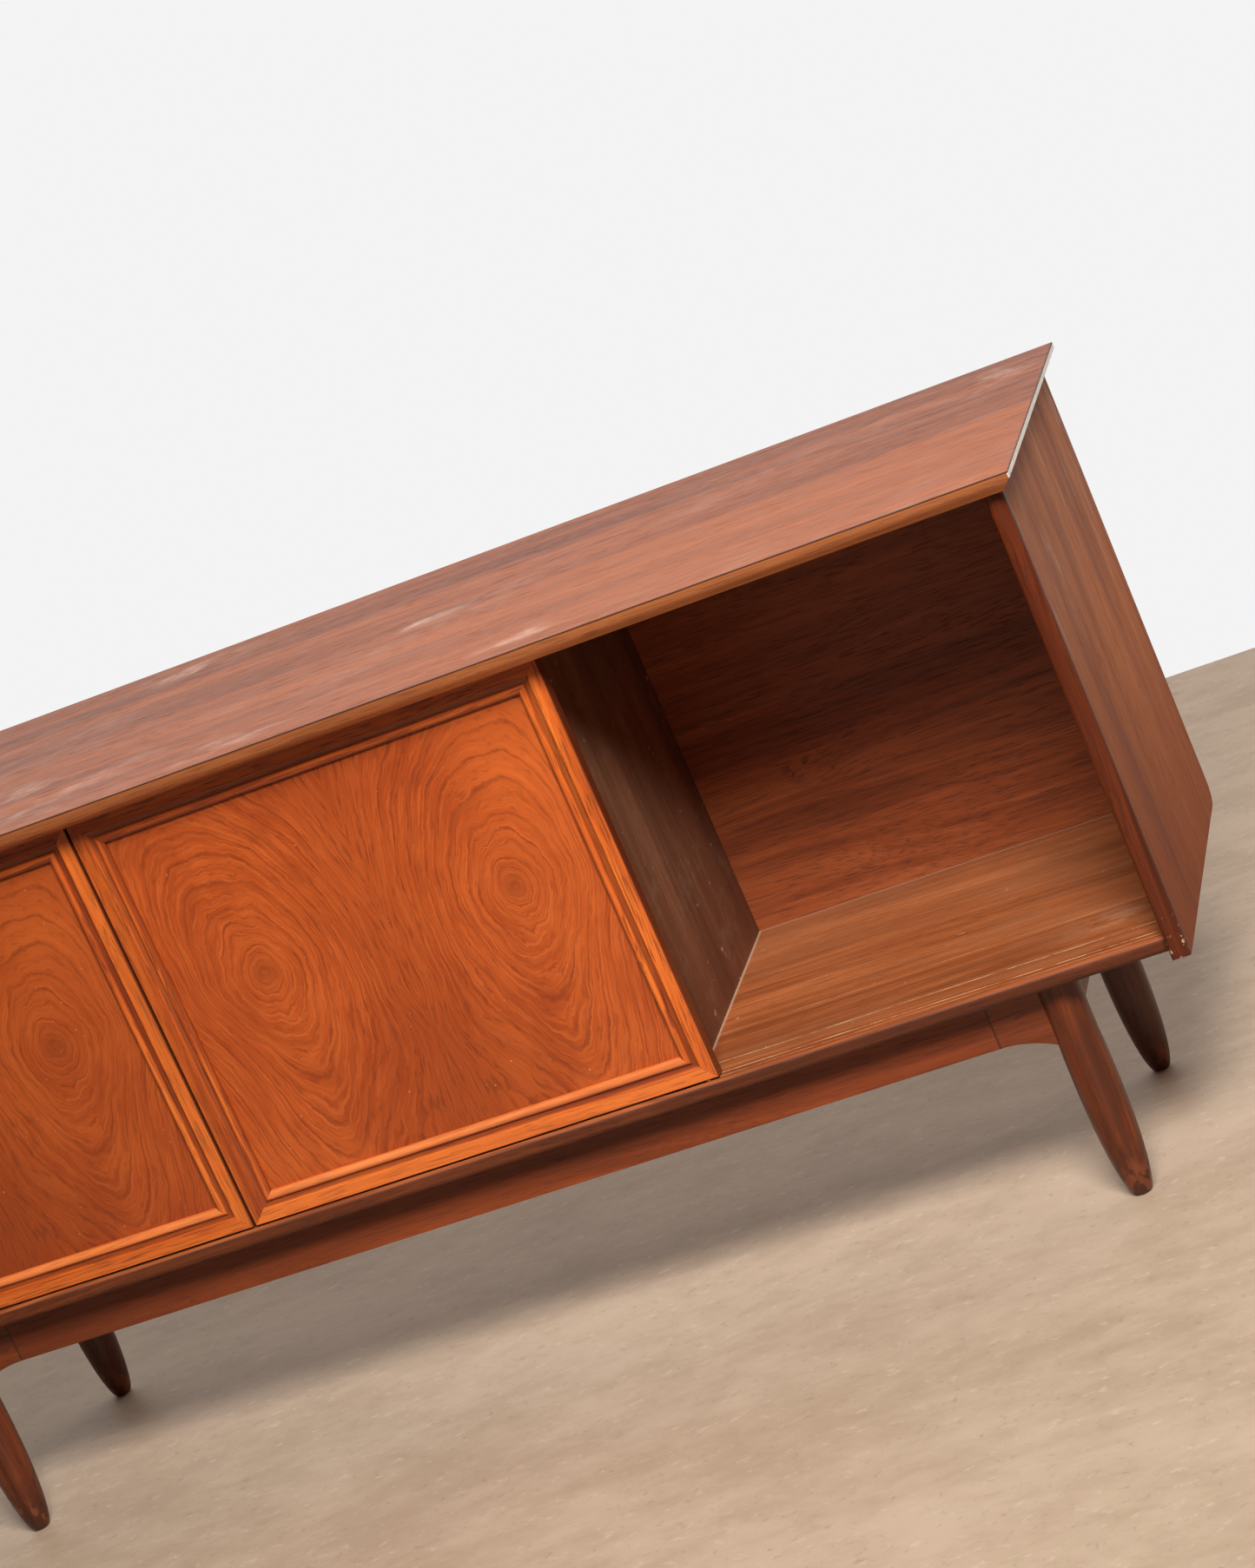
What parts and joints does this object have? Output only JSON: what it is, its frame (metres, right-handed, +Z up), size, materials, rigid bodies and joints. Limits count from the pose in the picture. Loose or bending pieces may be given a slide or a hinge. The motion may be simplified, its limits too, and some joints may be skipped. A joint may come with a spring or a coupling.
{
  "type": "sideboard",
  "caption": "Low wooden sideboard on round turned legs: a cupboard with framed, mirror-matched veneer doors at the left and an open niche at the right.",
  "frame": {"origin": "centre of the footprint of the whole piece, on the floor", "axes": "+X along the length towards the open niche, +Y towards the back, +Z up; the doors face -Y"},
  "size_m": [1.472, 0.45, 0.7],
  "materials": {
    "core_veneer": "satin, reddish brown walnut veneer, seen only from below",
    "top_veneer": "satin, long straight grain, faded and lightly scuffed",
    "top_lipping": "satin solid wood, golden brown",
    "pale_edging": "matt, bare pale edge",
    "side_veneer": "satin, upright grain, faded with pale rubs",
    "dark_lipping": "satin solid wood, dark red brown with worn edges",
    "worn_board": "worn satin veneer with pale scratches",
    "inner_veneer": "matt dark veneer, dusty",
    "back_veneer": "matt reddish brown veneer, horizontal grain",
    "figured_veneer": "gloss, mirror-matched swirl figure, orange brown",
    "frame_wood": "satin solid wood with coarse open grain, orange",
    "base_wood": "satin solid wood, brown",
    "leg_wood": "satin turned wood, dark, worn at the foot",
    "brass": "aged",
    "steel": "zinc plated, dull",
    "catch_body": "matt brown"
  },
  "bodies": {
    "case": {"top_core": "core_veneer", "top_veneer": "top_veneer", "top_front_lipping": "top_lipping", "top_end_edging_left": "pale_edging", "top_end_edging_right": "pale_edging", "side_panel_left": "side_veneer", "side_panel_right": "side_veneer", "side_lipping_left": "dark_lipping", "side_lipping_right": "dark_lipping", "case_bottom": "worn_board", "bottom_front_lipping": "dark_lipping", "partition": "inner_veneer", "centre_divider": "inner_veneer", "back_panel": "back_veneer", "back_panel_screws": "steel", "cupboard_shelf_left": "worn_board", "cupboard_shelf_right": "worn_board", "left_lower_case_leaf": "brass", "left_upper_case_leaf": "brass", "right_lower_case_leaf": "brass", "right_upper_case_leaf": "brass", "case_leaf_screws": "brass", "left_door_catch": "catch_body", "right_door_catch": "catch_body", "catch_screws": "steel", "front_rail": "base_wood", "rear_rail": "base_wood", "left_end_rail": "base_wood", "right_end_rail": "base_wood", "front_left_bracket": "base_wood", "front_right_bracket": "base_wood", "rear_left_bracket": "base_wood", "rear_right_bracket": "base_wood", "front_left_leg": "leg_wood", "front_right_leg": "leg_wood", "rear_left_leg": "leg_wood", "rear_right_leg": "leg_wood", "front_cleat": "base_wood", "rear_cleat": "base_wood", "base_screws": "steel"},
    "left_door": {"left_door_panel": "figured_veneer", "left_door_bottom_rail": "frame_wood", "left_door_top_rail": "frame_wood", "left_door_hinge_stile": "frame_wood", "left_door_closing_stile": "frame_wood", "left_door_screws": "brass", "left_door_strike": "steel", "left_lower_door_leaf": "brass", "left_upper_door_leaf": "brass"},
    "right_door": {"right_door_panel": "figured_veneer", "right_door_bottom_rail": "frame_wood", "right_door_top_rail": "frame_wood", "right_door_hinge_stile": "frame_wood", "right_door_closing_stile": "frame_wood", "right_door_screws": "brass", "right_door_strike": "steel", "right_lower_door_leaf": "brass", "right_upper_door_leaf": "brass"}
  },
  "joints": [
    {"name": "left_door_hinge", "type": "hinge", "parent": "case", "child": "left_door", "pos_m": [-0.6875, -0.175, 0.462], "axis": [0, 0, -1], "range_deg": [0, 110]},
    {"name": "right_door_hinge", "type": "hinge", "parent": "case", "child": "right_door", "pos_m": [0.2575, -0.175, 0.462], "axis": [0, 0, 1], "range_deg": [0, 110]}
  ]
}
